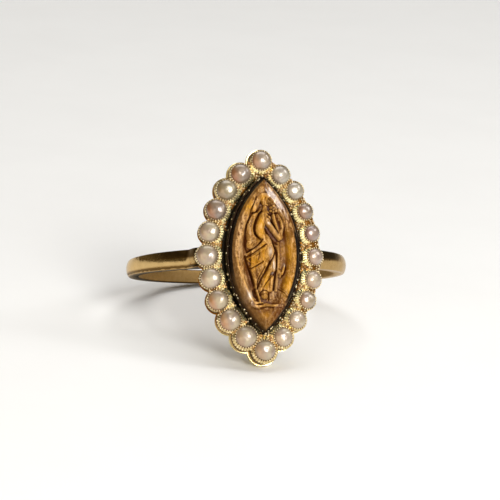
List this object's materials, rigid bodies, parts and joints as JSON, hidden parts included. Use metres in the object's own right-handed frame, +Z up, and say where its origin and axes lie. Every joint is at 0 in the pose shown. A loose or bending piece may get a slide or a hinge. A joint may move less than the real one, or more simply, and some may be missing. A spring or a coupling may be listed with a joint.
{
  "type": "navette cluster ring",
  "caption": "Thin tapered gold hoop with a long pointed-oval head: a carved brown stone in a low collet, ringed by half pearls in a scalloped border.",
  "frame": {"origin": "on the surface the ring lies on, under the middle of its box", "axes": "+X across the hoop, parallel to the surface and square to the finger; +Z up; the head's face looks towards -Y and up"},
  "size_m": [0.0192, 0.023, 0.0171],
  "materials": {
    "gold": "polished yellow gold, milgrained along its edges",
    "tigers_eye": "polished tiger's eye, carved in low relief",
    "pearl": "lustrous cream nacre"
  },
  "bodies": {
    "root": {"gold_mount": "gold", "carved_stone": "tigers_eye", "pearl_01": "pearl", "pearl_02": "pearl", "pearl_03": "pearl", "pearl_04": "pearl", "pearl_05": "pearl", "pearl_06": "pearl", "pearl_07": "pearl", "pearl_08": "pearl", "pearl_09": "pearl", "pearl_10": "pearl", "pearl_11": "pearl", "pearl_12": "pearl", "pearl_13": "pearl", "pearl_14": "pearl", "pearl_15": "pearl", "pearl_16": "pearl", "pearl_17": "pearl", "pearl_18": "pearl", "pearl_19": "pearl", "pearl_20": "pearl"}
  },
  "joints": []
}
